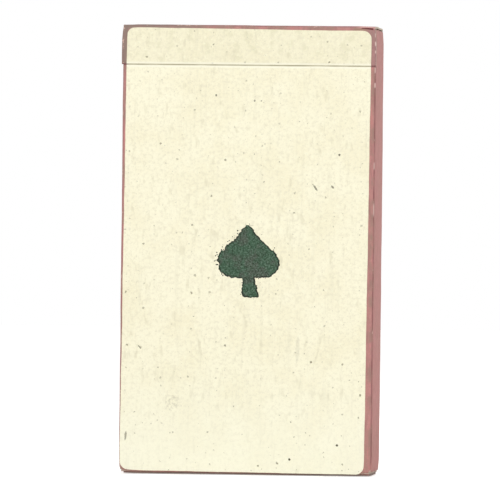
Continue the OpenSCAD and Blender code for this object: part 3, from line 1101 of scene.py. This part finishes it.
def pip(kind, u, v):
    """Cover of a suit's pip about its middle, one unit high and low."""
    if kind == "diamond":
        return (abs(u) * 1.35 + abs(v)) < 1
    if kind == "heart":
        lobes = u.disc(v, (-0.45, 0.42), 0.56) | u.disc(v, (0.45, 0.42), 0.56)
        return (lobes > 0.4) | ((abs(u) * 1.25 - v) < 0.95) * (v < 0.3)
    stem = (abs(u) < (0.06 - v * 0.3)) * (v > -1) * (v < 0)
    if kind == "spade":
        lobes = u.disc(v, (-0.42, -0.25), 0.55) | u.disc(v, (0.42, -0.25), 0.55)
        return (lobes > 0.4) | ((abs(u) * 1.15 + v) < 0.95) * (v > -0.2) | stem
    leaves = u.disc(v, (-0.46, -0.18), 0.52) | u.disc(v, (0.46, -0.18), 0.52) | u.disc(v, (0, 0.5), 0.52)
    return (leaves > 0.4) | stem


def card_plane(place, node):
    """Place on a card of a node, across and up from its middle, and half the card's width and height."""
    low, high = BOX[node]
    x, _, z = place.split()
    return x - (low.x + high.x) / 2, z - (low.z + high.z) / 2, (high.x - low.x) / 2, (high.z - low.z) / 2


def stock_colour(place, cards):
    """Card stock with faint mottling, and its grain."""
    cloud = place.noise(90, 3)
    grain = place.noise(1700, 3, 0.6)
    base = layered(cards.stock, {
        "yellowed clouds": (cloud.rise(0.35, 0.7), "ECE4CD"),
        "grain": (grain.rise(0.55, 0.8) * 0.3, "DFD5BB"),
    })
    return base, grain


# The printed line round a face, from the card's edge, how far in a corner pip stands from the side and the
# end, half its width and height, and how much taller than wide the larger pips are
FACE_LINE = (1.7 * MM, 2.0 * MM)
CORNER_IN = (5.2 * MM, 5.8 * MM)
CORNER_PIP = (2.1 * MM, 2.6 * MM)
PIP_SLIMNESS = 1.15

# The printed border and lattice of a back, from the card's edge, and the lattice's pitch. Half the width of
# its lines and the square of its dots' radius are in pitches.
BACK_BORDER = (2.6 * MM, 3.4 * MM)
LATTICE_IN = 4.2 * MM
LATTICE_PITCH = 4.2 * MM
LATTICE_LINE = 0.075
LATTICE_DOT = 0.012


def card_face(place, cards, node, suit, spread):
    """Printed face: a thin frame, a small pip in each corner and larger pips in the middle."""
    base, grain = stock_colour(place, cards)
    u, v, half_x, half_z = card_plane(place, node)
    inset = (half_x - abs(u)) & (half_z - abs(v))
    mark = (inset > FACE_LINE[0]) * (inset < FACE_LINE[1]) * 0.7
    if suit:
        corner_u = (abs(u) - half_x + CORNER_IN[0]) / CORNER_PIP[0]
        corner_v = (abs(v) - half_z + CORNER_IN[1]) / CORNER_PIP[1]
        mark = mark | pip(suit, corner_u, corner_v)
        for height, size in spread:
            mark = mark | pip(suit, u / size, (v - height) / (size * PIP_SLIMNESS))
    ink = cards.red if suit in ("heart", "diamond") else cards.black
    worn_ink = mark * (0.72 + grain.rise(0.62, 0.4) * 0.28)
    return worn_ink.mix(base, ink), 0.42 + grain * 0.2, grain


def card_edge(place, cards):
    """Cut edge of the stock, with the layers of the pasteboard."""
    layer = place.stretch(0.2, 12, 0.2).noise(900, 2)
    grime = place.noise(260, 3)
    base = layered(cards.edge, {
        "layers": (layer.rise(0.35, 0.65), "CDC1A6"),
        "grime": (grime.rise(0.5, 0.75) * 0.45, "B3A68A"),
    })
    return base, 0.7 + grime * 0.15, layer


def card_back(place, cards, node):
    """Printed back: a bordered lattice of crossing lines with a dot in every lozenge."""
    base, grain = stock_colour(place, cards)
    u, v, half_x, half_z = card_plane(place, node)
    inset = (half_x - abs(u)) & (half_z - abs(v))
    along = (u + v) / LATTICE_PITCH
    against = (u - v) / LATTICE_PITCH
    lines = abs(along - along.math("ROUND")) & abs(against - against.math("ROUND"))
    middle_a = along.math("FRACT") - 0.5
    middle_b = against.math("FRACT") - 0.5
    dots = (middle_a * middle_a + middle_b * middle_b) < LATTICE_DOT
    lattice = ((lines < LATTICE_LINE) | dots) * (inset > LATTICE_IN)
    border = (inset > BACK_BORDER[0]) * (inset < BACK_BORDER[1])
    mark = (lattice | border) * (0.75 + grain.rise(0.62, 0.4) * 0.25)
    return mark.mix(base, cards.back), 0.42 + grain * 0.2, grain


# Height and size of each pip in the middle of a face, by rank
SPREADS = {"pips": ((0, 10.5 * MM),), "courts": ((26 * MM, 5.2 * MM), (-26 * MM, 5.2 * MM))}

# Nodes of the deck from front to back, with their suits and spreads
DECK_SIZE = 78
SUITS = ("spade", "heart", "diamond", "club")
DECK = [(f"{suit}_{rank}", suit, spread) for suit in SUITS for rank, spread in SPREADS.items()]
DECK += [("trumps", "", ()), ("fool", "", ())]
CARD_RELIEF = 0.01 * MM
CARD_GLOSS = 0.4


def card(low, high, y, thick, corner):
    """One card: its face takes the first finish, its cut edge the second and its back the third."""
    bm = rectangle((low.x, y, low.z), (high.x, y, high.z))
    round_off(bm, bm.verts[:], corner, 6)
    face = bm.faces[:]
    behind = bmesh.ops.solidify(bm, geom=face, thickness=thick)["geom"]
    for side in bm.faces:
        side.material_index = 0 if side in face else (2 if side in behind else 1)
    return bm


class CARTON_OT_cards(bpy.types.Operator):
    """The cards, one standing behind another, each a little out of line"""

    bl_idname = "carton.cards"
    bl_label = "Cards"

    def execute(self, context):
        cards = context.scene.carton_cards
        thick = BOX["fool"][1].y - BOX["fool"][0].y
        pitch = (BOX["fool"][0].y - BOX["spade_pips"][0].y) / (DECK_SIZE - 1)
        edge = finish("card_edge", card_edge, cards, depth=CARD_RELIEF)
        back = finish("card_back", card_back, cards, "fool", depth=CARD_RELIEF, specular=CARD_GLOSS)
        chance = random.Random(CARD_SEED)
        for node, suit, spread in DECK:
            low, high = BOX[node]
            count = round((high.y - low.y - thick) / pitch) + 1
            bm = bmesh.new()
            for i in range(count):
                one = card(low, high, low.y + i * pitch, thick, cards.corner)
                stray = (chance.uniform(-1, 1) * cards.stray, 0, chance.uniform(0, 0.6) * cards.stray)
                bmesh.ops.translate(one, verts=one.verts[:], vec=stray)
                loose = bpy.data.meshes.new("card")
                one.to_mesh(loose)
                one.free()
                bm.from_mesh(loose)
                bpy.data.meshes.remove(loose)
            kind = (cards, node, suit, spread)
            front = finish(f"{node}_face", card_face, *kind, depth=CARD_RELIEF, specular=CARD_GLOSS)
            piece(bm, f"{node}_cards", node, (front, edge, back))
        return {"FINISHED"}


# Stage


# Name, place, size and strength of each lamp
LAMPS = (
    ("key", (-0.55, -0.9, 0.75), 0.7, 5.2),
    ("fill", (0.5, -1.0, 0.35), 0.8, 3.4),
    ("rear", (0.35, 0.9, 0.7), 0.7, 4.0),
)
FLOOR_SIZE = 4
FLOOR_DROP = 0.2 * MM
FLOOR_GLOW = 0.55
WHITE = (1, 1, 1)


def lamp(name, place, target, size, energy):
    """A soft square lamp that points at the carton."""
    light = bpy.data.lights.new(name, "AREA")
    light.shape = "SQUARE"
    light.size = size
    light.energy = energy
    made = bpy.data.objects.new(name, light)
    made.location = place
    made.rotation_mode = "QUATERNION"
    made.rotation_quaternion = (target - Vector(place)).to_track_quat("-Z", "Y")
    bpy.context.scene.collection.objects.link(made)


def start_stage(owner):
    """Clears the node tree of the floor's material or the world.

    Returns a Shade to start from, and whether a ray comes from the camera, a gloss or a glass.
    """
    owner.use_nodes = True
    owner.node_tree.nodes.clear()
    start = Shade(owner.node_tree)
    camera, glossy, through = [start.node("ShaderNodeLightPath", output=i) for i in (0, 3, 6)]
    return start, camera | glossy | through


def lay_floor(stage):
    """A pale floor that keeps the carton's shadow and looks white."""
    bm = bmesh.new()
    bmesh.ops.create_grid(bm, x_segments=1, y_segments=1, size=FLOOR_SIZE)
    bmesh.ops.translate(bm, verts=bm.verts[:], vec=(0, 0, -FLOOR_DROP))
    mesh = bpy.data.meshes.new("floor")
    bm.to_mesh(mesh)
    bm.free()
    floor = bpy.data.objects.new("floor", mesh)
    bpy.context.scene.collection.objects.link(floor)
    material = bpy.data.materials.new("pale_floor")
    start, shown = start_stage(material)
    plain = start.node("ShaderNodeBsdfDiffuse", {}, {"Color": stage.floor})
    glow = start.node("ShaderNodeEmission", {}, {"Color": WHITE, "Strength": FLOOR_GLOW})
    bright = start.node("ShaderNodeAddShader", {}, {0: plain, 1: glow})
    both = start.node("ShaderNodeMixShader", {}, {0: shown, 1: plain, 2: bright})
    start.node("ShaderNodeOutputMaterial", {}, {0: both})
    mesh.materials.append(material)


def light_sky(stage):
    """An even light from all round, which looks white."""
    world = bpy.data.worlds.new("even_light")
    bpy.context.scene.world = world
    start, shown = start_stage(world)
    light = start.node("ShaderNodeBackground", {}, {"Color": WHITE, "Strength": stage.sky})
    white = start.node("ShaderNodeBackground", {}, {"Color": WHITE, "Strength": 1.0})
    both = start.node("ShaderNodeMixShader", {}, {0: shown, 1: light, 2: white})
    start.node("ShaderNodeOutputWorld", {}, {0: both})


def place_camera(stage, middle):
    """A camera with a long lens, level with the middle of the face and a little to its right."""
    forward = Vector((-math.sin(stage.azimuth), math.cos(stage.azimuth), 0))
    right = forward.cross(Vector(UP))
    up = right.cross(forward)
    lean_right = right * math.cos(stage.roll) + up * math.sin(stage.roll)
    lean_up = up * math.cos(stage.roll) - right * math.sin(stage.roll)
    aim = middle + right * stage.aside
    camera = bpy.data.objects.new("camera", bpy.data.cameras.new("camera"))
    bpy.context.scene.collection.objects.link(camera)
    camera.data.sensor_width = 36
    camera.data.lens = stage.lens
    camera.data.clip_start = 0.01
    camera.data.clip_end = 20
    distance = stage.frame_width * stage.lens / camera.data.sensor_width
    turn = Matrix((lean_right, lean_up, -forward)).transposed()
    camera.matrix_world = Matrix.Translation(aim - forward * distance) @ turn.to_4x4()
    bpy.context.scene.camera = camera


class CARTON_OT_stage(bpy.types.Operator):
    """Pale floor, soft light and the camera"""

    bl_idname = "carton.stage"
    bl_label = "Stage"

    def execute(self, context):
        stage = context.scene.carton_stage
        context.scene.view_settings.view_transform = "Standard"
        lay_floor(stage)
        light_sky(stage)
        middle = Vector((MIDDLE.x, FACE, MIDDLE.z))
        for name, place, size, energy in LAMPS:
            lamp(name, place, middle, size, energy * stage.lamp)
        place_camera(stage, middle)
        return {"FINISHED"}


class VIEW3D_PT_carton(bpy.types.Panel):
    """Lists the pieces and their settings"""

    bl_label = "Tarot deck"
    bl_space_type = "VIEW_3D"
    bl_region_type = "UI"
    bl_category = "Tarot deck"

    def draw(self, context):
        layout = self.layout
        for operator in OPERATORS:
            layout.operator(operator.bl_idname)
        for name, group in GROUPS.items():
            column = layout.column(heading=group.__doc__)
            for field in group.__annotations__:
                column.prop(getattr(context.scene, name), field)


GROUPS = {
    "carton": CartonSettings,
    "carton_label": LabelSettings,
    "carton_spade": SpadeSettings,
    "carton_cards": CardSettings,
    "carton_stage": StageSettings,
}
OPERATORS = (
    CARTON_OT_front, CARTON_OT_back, CARTON_OT_sides, CARTON_OT_bottom, CARTON_OT_lid, CARTON_OT_label,
    CARTON_OT_spade, CARTON_OT_cards, CARTON_OT_stage,
)


def register():
    """Adds the settings, the operators and the panel."""
    for name, group in GROUPS.items():
        bpy.utils.register_class(group)
        setattr(bpy.types.Scene, name, bpy.props.PointerProperty(type=group))
    for made in (*OPERATORS, VIEW3D_PT_carton):
        bpy.utils.register_class(made)


def unregister():
    """Takes them away again."""
    for made in (VIEW3D_PT_carton, *reversed(OPERATORS)):
        bpy.utils.unregister_class(made)
    for name, group in GROUPS.items():
        delattr(bpy.types.Scene, name)
        bpy.utils.unregister_class(group)


def main():
    """Builds every piece in order and writes the CAD model's box and the dressed model's."""
    register()
    bpy.ops.carton.front()
    bpy.ops.carton.back()
    bpy.ops.carton.sides()
    bpy.ops.carton.bottom()
    bpy.ops.carton.lid()
    bpy.ops.carton.label()
    bpy.ops.carton.spade()
    bpy.ops.carton.cards()
    bpy.ops.carton.stage()


if __name__ == "__main__":
    main()
